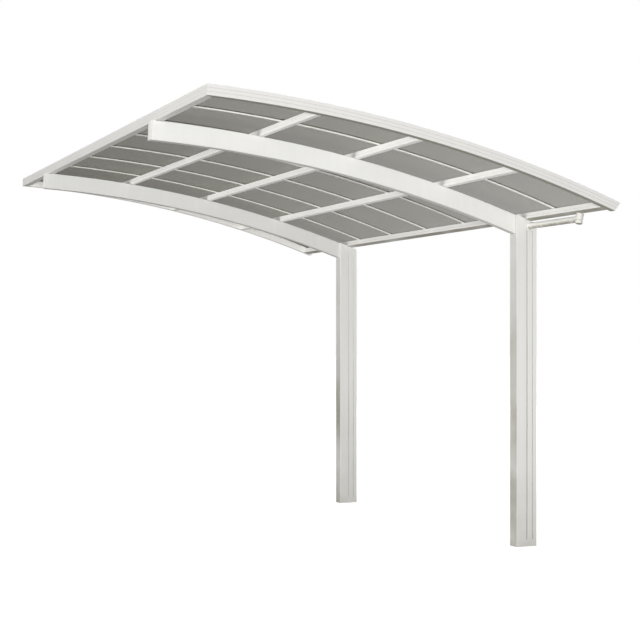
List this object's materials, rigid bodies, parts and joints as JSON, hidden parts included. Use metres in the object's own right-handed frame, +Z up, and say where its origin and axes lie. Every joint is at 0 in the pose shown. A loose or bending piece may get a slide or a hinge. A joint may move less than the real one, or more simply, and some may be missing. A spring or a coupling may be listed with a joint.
{
  "type": "cantilever carport",
  "caption": "Open carport for one car: posts on one side carry curved white aluminium arches and a smoked translucent roof.",
  "frame": {"origin": "middle of the flat underside of the front post's foot", "axes": "+X across the bay, from the open high eave towards the posts' outer side; +Y along the bay, from the front post to the rear post; +Z up"},
  "size_m": [2.8502, 4.95, 2.8915],
  "materials": {
    "white_aluminium": "satin powder coat, pure white, slightly orange-peeled",
    "smoked_polycarbonate": "glossy grey-brown tinted sheet",
    "white_plastic": "moulded white end caps",
    "white_pvc": "smooth white rainwater pipe",
    "black_rubber": "matt black sealing strips and washers",
    "stainless_steel": "bare stainless screws"
  },
  "bodies": {
    "root": {"front_arch": "white_aluminium", "front_arch_cap": "white_plastic", "front_downpipe_channel": "white_aluminium", "front_foot_shoe": "white_aluminium", "front_gable_cap": "white_plastic", "front_gable_rail": "white_aluminium", "front_post": "white_aluminium", "front_post_head": "white_aluminium", "glazing_bar_1": "white_aluminium", "glazing_bar_2": "white_aluminium", "glazing_bar_3": "white_aluminium", "glazing_bar_4": "white_aluminium", "glazing_bar_5": "white_aluminium", "glazing_bar_6": "white_aluminium", "glazing_bar_7": "white_aluminium", "high_eave_rail": "white_aluminium", "low_eave_rail": "white_aluminium", "purlin_1": "white_aluminium", "purlin_2": "white_aluminium", "purlin_3": "white_aluminium", "rain_pipe": "white_pvc", "rain_outlet": "white_pvc", "rear_arch": "white_aluminium", "rear_arch_cap": "white_plastic", "rear_downpipe_channel": "white_aluminium", "rear_foot_shoe": "white_aluminium", "rear_gable_cap": "white_plastic", "rear_gable_rail": "white_aluminium", "rear_post": "white_aluminium", "rear_post_head": "white_aluminium", "roof_panel_1": "smoked_polycarbonate", "roof_panel_2": "smoked_polycarbonate", "roof_panel_3": "smoked_polycarbonate", "roof_panel_4": "smoked_polycarbonate", "roof_panel_5": "smoked_polycarbonate", "roof_panel_6": "smoked_polycarbonate", "roof_panel_7": "smoked_polycarbonate", "roof_panel_8": "smoked_polycarbonate"}
  },
  "joints": []
}
